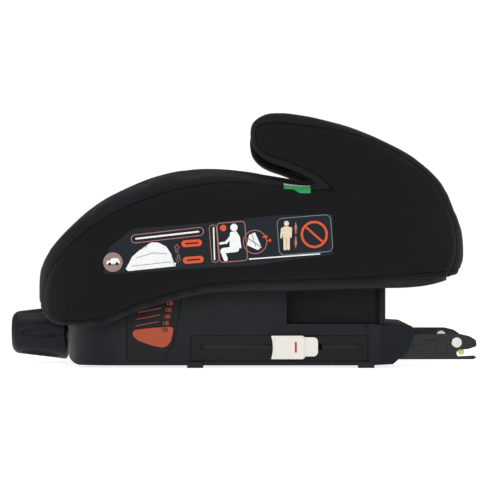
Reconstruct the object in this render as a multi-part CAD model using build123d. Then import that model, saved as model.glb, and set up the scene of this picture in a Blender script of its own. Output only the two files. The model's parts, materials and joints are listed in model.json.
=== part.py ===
"""Height-adjustable child booster seat with ISOFIX arms, as an assembly of separate pieces.

Frame: millimetres, +Z up, -Y is the way the child faces, +X is the child's left.
The origin is on the ground, midway between the front of the knob and the tips of the ISOFIX arms.
"""
from build123d import *
import os
from math import cos, pi, radians, sin, tan

os.makedirs("parts", exist_ok=True)

# ---------------------------------------------------------------- driving dimensions
# seat body (upholstered upper part)
SEAT_HALF_WIDTH = 217.0       # outside of the cover at the armrests
SEAT_FRONT_HALF_WIDTH = 200.0 # half width near the front corners
SEAT_FRONT_Y = -208.0
SEAT_REAR_Y = 217.5
ARM_INNER_X = 163.0           # inside face of each armrest
PAD_THICKNESS = 14.0          # foam and cover over the plastic shell
COVER_THICKNESS = 2.5
SHELL_WALL = 3.0
TRIM_INSET = 8.0              # the lower trim stands this far inside the cover's face
TRIM_HEIGHT = 9.0
TRIM_FLOOR = 3.0
ARCH_RADIUS = 38.0            # opening in the front lip, over the knob
SEAT_OPENING_FRONT_Y = -181.0 # hole in the seat's underside, which the base rises through
SEAT_OPENING_REAR_Y = 158.0
SEAT_OPENING_GAP = 6.0        # each side of the base

# height adjustment
LIFT_TILT = 12.0              # the seat rises along a line that leans this far to the rear, degrees
LIFT_UP = 6.0                 # travel left above the modelled height
LIFT_DOWN = 27.0              # travel below it
RAMP_ANGLE = 30.0             # slope of the cam slots, degrees
PIN_YS = (-90.0, 50.0)        # front and rear lifting pins
PIN_Z = 90.0
PIN_RADIUS = 3.0
BUSH_RADIUS = 5.0
SLOT_CLEARANCE = 0.2
RAMP_X = 108.0                # centre of each ramp plate
RAMP_THICKNESS = 8.0
RAMP_POINTS = [(-146.0, 24.0), (72.0, 24.0), (72.0, 104.0), (-92.0, 104.0), (-146.0, 72.0)]  # (Y, Z)
RAMP_CORNERS = [4.0, 4.0, 6.0, 10.0, 10.0]
CARRIAGE_Z = (38.0, 50.0)
TIE_ROD = (4.0, 60.0, 40.0)   # its radius, Y and Z
LUG_THICKNESS = 4.0
LUG_WIDTH = 20.0
LUG_GAP = 1.0                 # between a lug and its ramp plate
POST_X = 70.0
POST_RADIUS = 9.0
POST_CLEARANCE = 0.1
POST_TOP_Z = 124.0
POST_Y = 0.0                  # where the posts meet the base's floor
SLEEVE_WALL = 3.0
SLEEVE_BOTTOM_Z = 88.0
FRAME_TOP_Z = 152.0
FRAME_PLATE = 4.0
BRACKET_SCREWS = [(x, y) for x in (-60.0, 60.0) for y in (-55.0, 85.0)]

# base
BASE_HALF_WIDTH = 165.0
BASE_FRONT_Y = -172.5
BASE_REAR_Y = 136.0
BASE_BOTTOM_Z = 2.5
BASE_WALL = 3.0
LEDGE_Z = 44.0
LEDGE_START_Y = 47.0
BODY_TOP_Z = 97.0
TOE_RADIUS = 14.0             # the base's lower front edge
NOSE_RADIUS = 30.0            # its upper front edge, which the seat's shell comes down over
RISER_HALF_WIDTH = 125.0
RISER_FRONT_Y = -142.0
RISER_REAR_Y = 147.0
RISER_TOP_Z = 112.0
RISER_CORNER = 11.0           # its rear upright edges
REAR_BAR_TOP_Z = 41.3         # top of the bar across the rear, which slopes up to the ledge
REAR_BAR_Y = 173.1
FOOT_LENGTH = 16.0
FOOT_WIDTH = 19.5
FOOT_YS = (-44.0, 126.0)
FOOT_TOP_Z = 6.0
FIT_GAP = 0.15                # between inserts and the holes that they sit in
PAN_FLOOR = 3.0
RAIL_WALL = 1.5               # each side of the groove that a ramp plate slides in
RAIL_FLOOR_Z = 23.5
RAIL_TOP_Z = 30.0
ARM_RIB_FRONT_Y = -108.0      # the ribs that each arm slides between
ARM_RIB_TOP_Z = 16.0
BOSS_RADIUS = 4.5
BOSS_SPLIT_Z = 12.0           # where the pan's bosses meet the housing's
SCREW_SHANK = 1.4
SCREW_HEAD = 3.2
SCREW_HEAD_TOP_Z = 5.2
BASE_SCREWS = [(140.0, -125.0, BODY_TOP_Z - 1), (60.0, 136.0, RISER_TOP_Z - 1),
               (40.0, -150.0, BODY_TOP_Z - 1)]     # X, Y and the height of each boss's root

# knob and lead screw
SCREW_BEARINGS = [(-157.0, -143.0), (-2.0, 10.0)]  # front and rear
SCREW_Z = 31.5
SCREW_RADIUS = 6.0
SCREW_REAR_Y = 12.0
RUNNING_CLEARANCE = 0.06
BEARING_WALL = 1.5
RING_THICKNESS = 1.2
RING_RADIUS = 9.0
KNOB_FRONT_Y = -236.5
KNOB_REAR_Y = -178.5
KNOB_FRONT_RADIUS = 21.2
KNOB_REAR_RADIUS = 28.0
KNOB_GRIPS = 6
GRIP_SCOOP = (7.0, 24.0, 8.0) # half depth, half length and half width of each scooped side
GRIP_RISE = 3.6               # the scoops' centres stand this far outside the grip
KNOB_BORE = 26.0
NUT_Y = -80.0
NUT_RADIUS = 10.0
NUT_LENGTH = 16.0

# ISOFIX arms
ARM_X = 140.0                 # half of the standard 280 mm between the two anchorages
ARM_WIDTH = 22.0
PLATE = 2.5
ARM_BOTTOM_Z = 8.1
ARM_TOP_Z = 33.6
ARM_FRONT_Y = -49.5
ARM_TIP_Y = 236.5
MOUTH_Z = 14.2                # centre line of the anchorage bar
MOUTH_RADIUS = 3.6
MOUTH_Y = 220.1               # centre of the mouth's round end
CLAW_Y = 216.5
CLAW_Z = 25.0
CLAW_THICKNESS = 8.0
CROSS_TUBE_Y = 75.0
CROSS_TUBE_Z = 14.0
CROSS_TUBE_RADIUS = 6.0
ARM_CLEARANCE = 0.3           # all round each arm, in its guide
GUIDE_WALL = 3.5
GUIDE_Y = (127.5, 152.0)
PASSAGE_Z = (6.0, 36.0)
CLAW_PIN_RADIUS = 2.5
SEAR_PIN_RADIUS = 2.0
SEAR_PIVOT = (190.0, 26.0)
TENONED_SPACERS = [(173.0, 183.6, 15.4, 23.4), (194.8, 208.4, 13.6, 22.6)]  # from and to in Y, then in Z
PLAIN_SPACERS = [(-30, -20, 12, 30), (20, 30, 12, 30)]
ROD_WINDOW_Y = (60.0, 82.0)   # where the release rod's neck passes through the outer plate
ROD_WINDOW_Z = (16.5, 25.5)
RIVET_HEAD_RADIUS = 5.1
RIVET_HEAD = 1.2
TENON_SHOULDER = 0.8
TENON_PROUD = 0.1             # what stands out of the plates, peened over

# white sliders in the sides of the base
SLIDER_Y = (30.6, 65.0)
SLIDER_Z = (8.9, 32.2)
SLIDER_X = (164.3, 171.2)
BUTTON_END_Y = 77.9
BUTTON_INNER_Y = 64.2
BUTTON_Z = (11.6, 30.6)
BUTTON_X = (165.2, 169.8)
BUTTON_CLEARANCE = 0.25
TRACK_Y = (-48.5, 127.5)
TRACK_Z = (6.9, 32.1)
TRACK_SLOT_Y = (-39.2, 122.7)
TRACK_SLOT_Z = (17.8, 24.1)
PANEL_FACE_X = 163.8          # outer face of the track and scale inserts
FLANGE = 2.0                  # how far an insert's flange reaches past its opening
FLANGE_THICKNESS = 1.2

# height scale on each side: (Y, Z) points
SCALE_POINTS = [(-111.7, 6.9), (-73, 6.9), (-73, 15), (-66, 20), (-54, 88), (-111.7, 88)]
MARKER_POINTS = [(-106.5, 35), (-103.5, 38), (-86, 40), (-67.5, 41), (-65.5, 38.5), (-68, 26.5),
                 (-72, 21.5), (-77, 20.2), (-86, 22), (-100.5, 27), (-105, 31)]
MARKER_THICKNESS = 0.8
SCALE_LINES = 3
LINE_START = (-103.5, 41.2)   # lower front corner of the lowest line
LINE_STEP = (1.4, 6.7)
LINE_RUN = (23.3, 4.4)
LINE_WIDTH = 0.9
LINE_THICKNESS = 0.3

LIFT = (sin(radians(LIFT_TILT)), cos(radians(LIFT_TILT)))  # the lift direction's Y and Z


# ---------------------------------------------------------------- helpers
def block(x0, x1, y0, y1, z0, z1):
    return Pos((x0 + x1) / 2, (y0 + y1) / 2, (z0 + z1) / 2) * Box(x1 - x0, y1 - y0, z1 - z0)


def rod_x(radius, x0, x1, y, z):
    return Pos((x0 + x1) / 2, y, z) * Rot(0, 90, 0) * Cylinder(radius, x1 - x0)


def rod_y(radius, y0, y1, x=0.0, z=SCREW_Z):
    return Pos(x, (y0 + y1) / 2, z) * Rot(90, 0, 0) * Cylinder(radius, y1 - y0)


def rod_z(radius, z0, z1, x, y):
    return Pos(x, y, (z0 + z1) / 2) * Cylinder(radius, z1 - z0)


def slab_x(face, x0, x1):
    """A side-view face, drawn as (Y, Z), given thickness from x0 to x1."""
    return extrude(Plane.YZ.offset(x0) * face, amount=x1 - x0)


def slab_z(face, z0, z1):
    """A plan-view face, drawn as (X, Y), given height from z0 to z1."""
    return extrude(Plane.XY.offset(z0) * face, amount=z1 - z0)


def rounded(points, radii):
    return make_face(FilletPolyline(*points, radius=radii, close=True))


def inset(face, amount):
    """The face taken in by amount, with its curves refitted as plain splines."""
    if not amount:
        return face
    edges = []
    for edge in offset(face, amount=-amount).face().outer_wire().edges():
        if edge.geom_type in (GeomType.LINE, GeomType.CIRCLE):
            edges.append(edge)
        else:
            steps = max(3, round(edge.length / 12))
            edges.append(Spline(*[edge @ (i / steps) for i in range(steps + 1)]))
    return make_face(edges)


def slot_face(start, end, radius):
    """A round-ended slot between two centres."""
    return SlotCenterPoint(((start[0] + end[0]) / 2, (start[1] + end[1]) / 2), end, 2 * radius)


def other_side(shape):
    return mirror(shape, about=Plane.YZ)


def both_halves(half):
    return half + other_side(half)


def biggest(shape):
    return Part() + max(shape.solids(), key=lambda s: s.volume)


def save(name, *shapes):
    solids = [s for shape in shapes for s in shape.solids()]
    export_step(Compound(children=solids) if len(solids) > 1 else solids[0], f"parts/{name}.step")


def save_pair(name, shape):
    save(f"{name}_left", shape)
    save(f"{name}_right", other_side(shape))


# ---------------------------------------------------------------- seat outlines
SEAT_TOP_POINTS = [(SEAT_FRONT_Y, 75), (-197.5, 105), (-163.8, 143.6), (-122.7, 172.3), (-75, 188.8),
                   (-22, 193.4), (43.7, 184.6), (110, 175), (165, 170.5), (204, 169)]
SEAT_BOTTOM_POINTS = [(SEAT_FRONT_Y, 75), (-201, 59.5), (-186.5, 45.5), (-163.8, 41.4), (-133.5, 45.3),
                      (-100.6, 58.5), (-62, 70.2), (-26.8, 78.3), (5.5, 80.6), (51.5, 82), (112.2, 84),
                      (208.9, 90.8)]
ARMREST_POINTS = [(92, 175), (80, 184), (65.2, 193.5), (45.6, 201.3), (27.6, 207.5), (18, 214.5),
                  (13, 224), (12.6, 235), (17.5, 244), (26, 249.2), (36, 250.6), (68, 247.4),
                  (105.3, 237), (135.5, 225), (157.9, 213.8), (180.4, 198.1), (195.3, 182.8),
                  (205.8, 162.2), (214.6, 141), (SEAT_REAR_Y, 121), (214.8, 104.5), (208.9, 92)]


def seat_top_curve():
    return Spline(*SEAT_TOP_POINTS)


def seat_bottom_curve(rise=0.0):
    return Spline(*[(y, z + rise) for y, z in SEAT_BOTTOM_POINTS])


def body_face():
    """Side outline of the seat without its armrests."""
    rear = Polyline(SEAT_TOP_POINTS[-1], (207, 150), SEAT_BOTTOM_POINTS[-1])
    return make_face(Curve() + seat_top_curve() + rear + seat_bottom_curve())


def open_body_face():
    """The same, carried straight down past the ground, for hollowing."""
    rear_and_floor = Polyline(SEAT_TOP_POINTS[-1], (207, 150), (208.9, -60), (SEAT_FRONT_Y, -60),
                              (SEAT_FRONT_Y, 75))
    return make_face(Curve() + seat_top_curve() + rear_and_floor)


def above_bottom_face(rise):
    """Everything above the seat's lower edge, raised by rise."""
    closing = Polyline((208.9, 90.8 + rise), (250, 90.8 + rise), (250, 300), (-250, 300),
                       (-250, 75 + rise), (SEAT_FRONT_Y, 75 + rise))
    return make_face(Curve() + seat_bottom_curve(rise) + closing)


def armrest_face():
    """Side outline of an armrest and of the root that joins it to the seat."""
    arch = Spline(*ARMREST_POINTS)
    root = Polyline(ARMREST_POINTS[-1], (160, 100), (105, 120), ARMREST_POINTS[0])
    return make_face(Curve() + arch + root)


def seat_plan_face():
    w, f = SEAT_HALF_WIDTH, SEAT_FRONT_HALF_WIDTH
    right = [(0, SEAT_FRONT_Y - 1.5), (f, SEAT_FRONT_Y + 12), (w, -30), (w, SEAT_REAR_Y)]
    left = [(-x, y) for x, y in reversed(right[1:])]
    return rounded(right + left, [700, 62, 320, 45, 45, 320, 62])


def upholstered(depth):
    """The left half of the seat's soft outer form, taken in by depth all round."""
    w = SEAT_HALF_WIDTH - depth
    body = slab_x(inset(body_face(), depth), 0, w)
    arm = slab_x(inset(armrest_face(), depth), ARM_INNER_X + depth, w)
    return (body + arm) & slab_z(inset(seat_plan_face(), depth), 0, 300)


def seat_core(depth):
    """The space inside the upholstery, open at the bottom."""
    w = SEAT_HALF_WIDTH - depth
    return slab_x(inset(open_body_face(), depth), -w, w) & slab_z(inset(seat_plan_face(), depth), -40, 300)


def knob_arch():
    """The arched opening in the middle of the seat's front lip, over the knob."""
    top = SCREW_Z + KNOB_REAR_RADIUS + LIFT_DOWN + 5 - ARCH_RADIUS
    y0, y1 = SEAT_FRONT_Y - 20, SEAT_OPENING_FRONT_Y + 22
    return rod_y(ARCH_RADIUS, y0, y1, 0, top) + block(-ARCH_RADIUS, ARCH_RADIUS, y0, y1, -5, top)


def seat_opening():
    half = BASE_HALF_WIDTH + SEAT_OPENING_GAP
    return block(-half, half, SEAT_OPENING_FRONT_Y, SEAT_OPENING_REAR_Y, -5, 140)


# ---------------------------------------------------------------- seat pieces
def lower_trim():
    """The plastic rim that closes the shell's underside around the base."""
    low = [(-168, 44.5), (-133.5, 44.2), (-100.6, 56.8), (-62, 68.5), (-26.8, 75.6), (5.5, 77),
           (66.7, 77.8), (127.8, 79.7), (181.4, 82), (204, 87.5)]
    band = make_face(Curve() + Spline(*low) + Polyline(low[-1], (low[-1][0], low[-1][1] + TRIM_HEIGHT))
                     + Spline(*[(y, z + TRIM_HEIGHT) for y, z in reversed(low)])
                     + Polyline((low[0][0], low[0][1] + TRIM_HEIGHT), low[0]))
    half = SEAT_HALF_WIDTH - TRIM_INSET
    ring = slab_x(band, -half, half) & slab_z(inset(seat_plan_face(), TRIM_INSET), 0, 200)
    lip = 6.0
    hollow = slab_x(Pos(0, TRIM_FLOOR) * band, lip - half, half - lip)
    hollow &= slab_z(inset(seat_plan_face(), TRIM_INSET + lip), 0, 200)
    return ring - hollow - seat_opening() - knob_arch()


def seat_shell(trim):
    outer = seat_core(PAD_THICKNESS) & slab_x(above_bottom_face(2), -SEAT_HALF_WIDTH, SEAT_HALF_WIDTH)
    shell = outer - seat_core(PAD_THICKNESS + SHELL_WALL) - knob_arch() - trim
    # bosses that reach down to the lifting frame
    for x, y in BRACKET_SCREWS:
        boss = rod_z(6, FRAME_TOP_Z, 200, x, y) & seat_core(PAD_THICKNESS + SHELL_WALL / 2)
        shell += boss - rod_z(1.6, FRAME_TOP_Z - 1, FRAME_TOP_Z + 9, x, y)
    return shell


def armrest_horn(depth):
    """The hard core that stands inside an armrest, taken in by depth all round."""
    horn = slab_x(inset(armrest_face(), depth), ARM_INNER_X + depth, SEAT_HALF_WIDTH - depth)
    return horn & slab_z(inset(seat_plan_face(), depth), 0, 300)


def leaning_rod(radius, x, y, z, z0, z1):
    """A rod along the lift direction, through (x, y) at height z, from about z0 to z1."""
    length = (z1 - z0) / LIFT[1]
    foot_y = y + (z0 - z) * tan(radians(LIFT_TILT))
    return Pos(x, foot_y, z0) * Rot(-LIFT_TILT, 0, 0) * Pos(0, 0, length / 2) * Cylinder(radius, length)


def lug_face(pin_y):
    lean = tan(radians(LIFT_TILT))
    bottom, top = PIN_Z - 12, FRAME_TOP_Z - FRAME_PLATE / 2
    half = LUG_WIDTH / 2
    corners = [(pin_y + (z - PIN_Z) * lean + side * half, z)
               for z, side in ((bottom, -1), (bottom, 1), (top, 1), (top, -1))]
    return rounded(corners, [8, 8, 0, 0])


def lifting_frame():
    """A moulded plate under the deck, with forked lugs for the pins and sleeves for the posts."""
    half = RAMP_X + RAMP_THICKNESS / 2 + LUG_GAP + LUG_THICKNESS
    plate = rounded([(-half, -96), (half, -96), (half, 98), (-half, 98)], 10)
    frame = slab_z(plate, FRAME_TOP_Z - FRAME_PLATE, FRAME_TOP_Z)
    for pin_y in PIN_YS:
        for edge in (RAMP_X - RAMP_THICKNESS / 2 - LUG_GAP - LUG_THICKNESS,
                     RAMP_X + RAMP_THICKNESS / 2 + LUG_GAP):
            lug = slab_x(lug_face(pin_y), edge, edge + LUG_THICKNESS)
            lug -= rod_x(PIN_RADIUS, 0, 200, pin_y, PIN_Z)
            frame += lug + other_side(lug)
    for x in (-POST_X, POST_X):
        sleeve = leaning_rod(POST_RADIUS + POST_CLEARANCE + SLEEVE_WALL, x, POST_Y, BASE_BOTTOM_Z,
                             SLEEVE_BOTTOM_Z, FRAME_TOP_Z - FRAME_PLATE / 2)
        frame += sleeve
        frame -= leaning_rod(POST_RADIUS + POST_CLEARANCE, x, POST_Y, BASE_BOTTOM_Z, 40, FRAME_TOP_Z + 20)
    for x, y in BRACKET_SCREWS:
        frame -= rod_z(2.1, FRAME_TOP_Z - 10, FRAME_TOP_Z + 1, x, y)
    return frame


def build_seat():
    trim = lower_trim()
    shell = seat_shell(trim)
    save("lower_trim", trim)
    save("seat_shell", shell)
    save("lifting_frame", lifting_frame())

    # the soft parts are worked out for the left half and mirrored
    gap = seat_core(PAD_THICKNESS) + knob_arch() + trim
    under = upholstered(COVER_THICKNESS)
    half_cover = biggest(upholstered(0) - under - gap)
    save("seat_cover", both_halves(half_cover))
    horn = armrest_horn(PAD_THICKNESS) - seat_core(PAD_THICKNESS)
    cavity = armrest_horn(PAD_THICKNESS + SHELL_WALL) - seat_core(PAD_THICKNESS - SHELL_WALL)
    save_pair("armrest_horn", biggest(horn - cavity))
    foam = under - gap - horn

    side_zone = block(150, 230, -150, 230, 0, 300) - slab_z(inset(seat_plan_face(), PAD_THICKNESS), -1, 301)
    arm_zone = slab_x(armrest_face(), ARM_INNER_X, 230) - slab_x(open_body_face(), 0, 230)
    inner_foam = foam - side_zone
    save_pair("side_foam", biggest(foam & side_zone))
    save_pair("armrest_foam", biggest(inner_foam & arm_zone))
    save("seat_foam", both_halves(biggest(inner_foam - arm_zone)))

    pins, bushes = [], []
    lug_outer = RAMP_X + RAMP_THICKNESS / 2 + LUG_GAP + LUG_THICKNESS
    lug_inner = RAMP_X - RAMP_THICKNESS / 2 - LUG_GAP - LUG_THICKNESS
    for pin_y in PIN_YS:
        pin = rod_x(PIN_RADIUS, lug_inner, lug_outer, pin_y, PIN_Z)
        bush = rod_x(BUSH_RADIUS, RAMP_X - RAMP_THICKNESS / 2, RAMP_X + RAMP_THICKNESS / 2, pin_y, PIN_Z)
        bush -= rod_x(PIN_RADIUS, 0, 200, pin_y, PIN_Z)
        pins += [pin, other_side(pin)]
        bushes += [bush, other_side(bush)]
    save("lifting_pins", *pins)
    save("pin_bushes", *bushes)
    screws = []
    for x, y in BRACKET_SCREWS:
        head = rod_z(4, FRAME_TOP_Z - FRAME_PLATE - 2.2, FRAME_TOP_Z - FRAME_PLATE, x, y)
        screws.append(head + rod_z(1.5, FRAME_TOP_Z - FRAME_PLATE, FRAME_TOP_Z + 8, x, y))
    save("frame_screws", *screws)


# ---------------------------------------------------------------- base pieces
def base_plan(depth=0.0):
    w = BASE_HALF_WIDTH
    corners = [(-w, BASE_FRONT_Y), (w, BASE_FRONT_Y), (w, BASE_REAR_Y), (-w, BASE_REAR_Y)]
    return inset(rounded(corners, [50, 50, 12, 12]), depth)


def riser_plan(depth):
    r, y0, y1 = RISER_HALF_WIDTH - depth, RISER_FRONT_Y + depth, RISER_REAR_Y - depth
    return rounded([(-r, y0), (r, y0), (r, y1), (-r, y1)], [0, 0] + 2 * [RISER_CORNER - depth])


def base_form(depth, bottom):
    """The base's outer form taken in by depth, standing on the height bottom."""
    front, rear = BASE_FRONT_Y + depth, BASE_REAR_Y - depth
    step, top, ledge = LEDGE_START_Y - depth, BODY_TOP_Z - depth, LEDGE_Z - depth
    toe = BASE_FRONT_Y + TOE_RADIUS
    if depth:
        corner = [(front, BASE_BOTTOM_Z + TOE_RADIUS), (toe, BASE_BOTTOM_Z + depth), (toe, bottom)]
        radii = [0, 0, 0]
    else:
        corner, radii = [(front, bottom)], [TOE_RADIUS]
    profile = rounded(corner + [(rear, bottom), (rear, ledge), (step, ledge), (step, top), (front, top)],
                      radii + [0, 4, 0, 10, NOSE_RADIUS - depth])
    w = BASE_HALF_WIDTH - depth
    body = slab_x(profile, -w, w) & slab_z(base_plan(depth), bottom - 1, 200)
    r = RISER_HALF_WIDTH - depth
    riser = rounded([(-r, bottom), (r, bottom), (r, RISER_TOP_Z - depth), (-r, RISER_TOP_Z - depth)],
                    [0, 0, 8 - depth, 8 - depth])
    riser = extrude(Plane.XZ.offset(-RISER_FRONT_Y) * riser, amount=RISER_FRONT_Y - RISER_REAR_Y)
    return body + (riser & slab_z(riser_plan(depth), bottom - 1, 200))


def rear_bar_face():
    """Side outline of the bar across the base's rear, which the arms come out of."""
    inside_y = BASE_REAR_Y - 8
    return make_face(Polyline((inside_y, BASE_BOTTOM_Z), (152.5, 3.6), (158.8, 9), (168.3, 20.1),
                              (REAR_BAR_Y, 31.2), (REAR_BAR_Y, REAR_BAR_TOP_Z - 1.5),
                              (REAR_BAR_Y - 1.5, REAR_BAR_TOP_Z), (inside_y, LEDGE_Z), close=True))


def rear_bar():
    """The left half of that bar: solid round the arm, with its sides drawn in at the rear."""
    taper = make_face(Polyline((BASE_HALF_WIDTH, 140), (BASE_HALF_WIDTH + 5, 140), (BASE_HALF_WIDTH + 5, 180),
                               (BASE_HALF_WIDTH - 7, 180), close=True))
    return slab_x(rear_bar_face(), 0, BASE_HALF_WIDTH) - slab_z(taper, 0, 60)


def rear_bar_hollow():
    """The space inside the bar between the arms, open to the inside of the base."""
    half = ARM_X - ARM_WIDTH / 2 - GUIDE_WALL - 2 * BASE_WALL
    return slab_x(inset(rear_bar_face(), BASE_WALL), -half, half)


def arm_passage():
    half = ARM_WIDTH / 2 + GUIDE_WALL
    return block(ARM_X - half, ARM_X + half, BASE_REAR_Y - 16, 180, *PASSAGE_Z)


def scale_face(grow=0.0):
    face = make_face(Polyline(*SCALE_POINTS, close=True))
    return offset(face, amount=grow) if grow else face


def track_face(grow=0.0):
    (y0, y1), (z0, z1) = TRACK_Y, TRACK_Z
    return rounded([(y0 - grow, z0 - grow), (y1 + grow, z0 - grow), (y1 + grow, z1 + grow),
                    (y0 - grow, z1 + grow)], 3 + grow)


def side_insert(face, flange_face):
    """A plate let into the base's side from inside, with a flange behind the wall."""
    wall_inner = BASE_HALF_WIDTH - BASE_WALL
    plate = slab_x(face, wall_inner, PANEL_FACE_X)
    flange = slab_x(flange_face, wall_inner - FLANGE_THICKNESS, wall_inner)
    return plate + (flange & block(100, 200, -200, BASE_REAR_Y - 12, FOOT_TOP_Z + 0.3, 200))


def feet_boxes(gap=0.0):
    x1 = BASE_HALF_WIDTH + 2
    return [block(x1 - FOOT_WIDTH - gap, x1, y - FOOT_LENGTH / 2 - gap, y + FOOT_LENGTH / 2 + gap,
                  -gap, FOOT_TOP_Z) for y in FOOT_YS]


def base_housing():
    housing = base_form(0, BASE_BOTTOM_Z) + both_halves(rear_bar())
    housing -= base_form(BASE_WALL, -20)
    housing -= rear_bar_hollow()
    side_cuts = slab_x(scale_face(FIT_GAP), 150, 170) + slab_x(track_face(FIT_GAP), 150, 170) + arm_passage()
    for box in feet_boxes(FIT_GAP):
        side_cuts += box
    housing -= side_cuts
    housing -= other_side(side_cuts)
    housing -= rod_y(13, BASE_FRONT_Y - 5, BASE_FRONT_Y + 10)
    lean = tan(radians(LIFT_TILT))
    for pin_y in PIN_YS:
        y = pin_y + (RISER_TOP_Z - BASE_WALL / 2 - PIN_Z) * lean
        half_x, half_y = RAMP_THICKNESS / 2 + LUG_GAP + LUG_THICKNESS + 1.5, LUG_WIDTH / 2 + 2
        z0, z1 = RISER_TOP_Z - 10, RISER_TOP_Z + 5
        for x in (-RAMP_X, RAMP_X):
            housing -= block(x - half_x, x + half_x, y - half_y, y + half_y, z0, z1)
    sleeve_hole = POST_RADIUS + POST_CLEARANCE + SLEEVE_WALL + 1.2
    for x in (-POST_X, POST_X):
        housing -= leaning_rod(sleeve_hole, x, POST_Y, BASE_BOTTOM_Z, RISER_TOP_Z - 10, RISER_TOP_Z + 10)
    for x, y, top in BASE_SCREWS:
        boss = rod_z(BOSS_RADIUS, BOSS_SPLIT_Z, top, x, y) - rod_z(SCREW_SHANK + 0.1, 5, 24, x, y)
        housing += boss + other_side(boss)
    return housing


def pan_ribs():
    """What stands on the left half of the floor: a rail for the ramp plate, ribs for the arm, bosses."""
    top = BASE_BOTTOM_Z + PAN_FLOOR
    half = RAMP_THICKNESS / 2 + 0.3
    rail_y0, rail_y1 = -157, 10
    ribs = block(RAMP_X - half - RAIL_WALL, RAMP_X + half + RAIL_WALL, rail_y0, rail_y1, top, RAIL_TOP_Z)
    ribs -= block(RAMP_X - half, RAMP_X + half, rail_y0 - 1, rail_y1 + 1, RAIL_FLOOR_Z, RAIL_TOP_Z + 1)
    arm_outer = ARM_X + ARM_WIDTH / 2 + ARM_CLEARANCE
    arm_inner = ARM_X - ARM_WIDTH / 2 - ARM_CLEARANCE
    ribs += block(arm_outer, arm_outer + PAN_FLOOR, ARM_RIB_FRONT_Y, 110, top, ARM_RIB_TOP_Z)
    ribs += block(ARM_X - 10, ARM_X + 6, ARM_RIB_FRONT_Y, 112, top, ARM_BOTTOM_Z - ARM_CLEARANCE)
    ribs += block(arm_inner - PAN_FLOOR, arm_inner, ARM_RIB_FRONT_Y, 12, top, ARM_RIB_TOP_Z)
    for x, y, _ in BASE_SCREWS:
        ribs += rod_z(BOSS_RADIUS, top, BOSS_SPLIT_Z, x, y)
    post = leaning_rod(POST_RADIUS + 2, POST_X, POST_Y, BASE_BOTTOM_Z, top, BOSS_SPLIT_Z)
    return ribs + (post & block(0, 200, -50, 50, top, BOSS_SPLIT_Z))


def base_pan():
    top = BASE_BOTTOM_Z + PAN_FLOOR
    floor = slab_z(base_plan(BASE_WALL + FIT_GAP), BASE_BOTTOM_Z, top)
    floor += slab_z(riser_plan(BASE_WALL + FIT_GAP), BASE_BOTTOM_Z, top)
    floor &= block(-200, 200, BASE_FRONT_Y + TOE_RADIUS + FIT_GAP, 200, 0, top)
    pan = floor + both_halves(pan_ribs())
    cuts = leaning_rod(POST_RADIUS, POST_X, POST_Y, BASE_BOTTOM_Z, -10, 20)
    for x, y, _ in BASE_SCREWS:
        cuts += rod_z(SCREW_SHANK + 0.3, 0, 20, x, y) + rod_z(SCREW_HEAD + 0.2, 0, SCREW_HEAD_TOP_Z, x, y)
    for box in feet_boxes(FIT_GAP):
        cuts += box
    pan = pan - cuts - other_side(cuts)
    # bearing blocks for the lead screw
    for y0, y1 in SCREW_BEARINGS:
        pan += block(-18, 18, y0, y1, top - 1, SCREW_Z + 12)
        pan -= rod_y(SCREW_RADIUS + RUNNING_CLEARANCE + BEARING_WALL, y0 - 1, y1 + 1)
    return pan


def guide_posts():
    post = leaning_rod(POST_RADIUS, POST_X, POST_Y, BASE_BOTTOM_Z, BASE_BOTTOM_Z - 20, POST_TOP_Z)
    post &= block(0, 200, -50, 60, BASE_BOTTOM_Z, 200)
    return post


def arm_guide():
    """A slick liner in the base's rear passage."""
    half = ARM_WIDTH / 2
    x0, x1 = ARM_X - half - GUIDE_WALL + FIT_GAP, ARM_X + half + GUIDE_WALL - FIT_GAP
    y0, y1, g = GUIDE_Y[0], GUIDE_Y[1], ARM_CLEARANCE
    liner = block(x0, x1, y0, y1, PASSAGE_Z[0] + FIT_GAP, PASSAGE_Z[1] - FIT_GAP)
    return liner - block(ARM_X - half - g, ARM_X + half + g, y0 - 1, y1 + 1, ARM_BOTTOM_Z - g, ARM_TOP_Z + g)


def scale_parts():
    panel = side_insert(scale_face(), scale_face(FLANGE))
    marker = slab_x(rounded(MARKER_POINTS, 1.2), PANEL_FACE_X, PANEL_FACE_X + MARKER_THICKNESS)
    lines = []
    for step in range(SCALE_LINES):
        y, z = LINE_START[0] + LINE_STEP[0] * step, LINE_START[1] + LINE_STEP[1] * step
        y1, z1 = y + LINE_RUN[0], z + LINE_RUN[1]
        line = make_face(Polyline((y, z), (y1, z1), (y1, z1 + LINE_WIDTH), (y, z + LINE_WIDTH), close=True))
        lines.append(slab_x(line, PANEL_FACE_X, PANEL_FACE_X + LINE_THICKNESS))
    return panel, marker, lines


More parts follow.
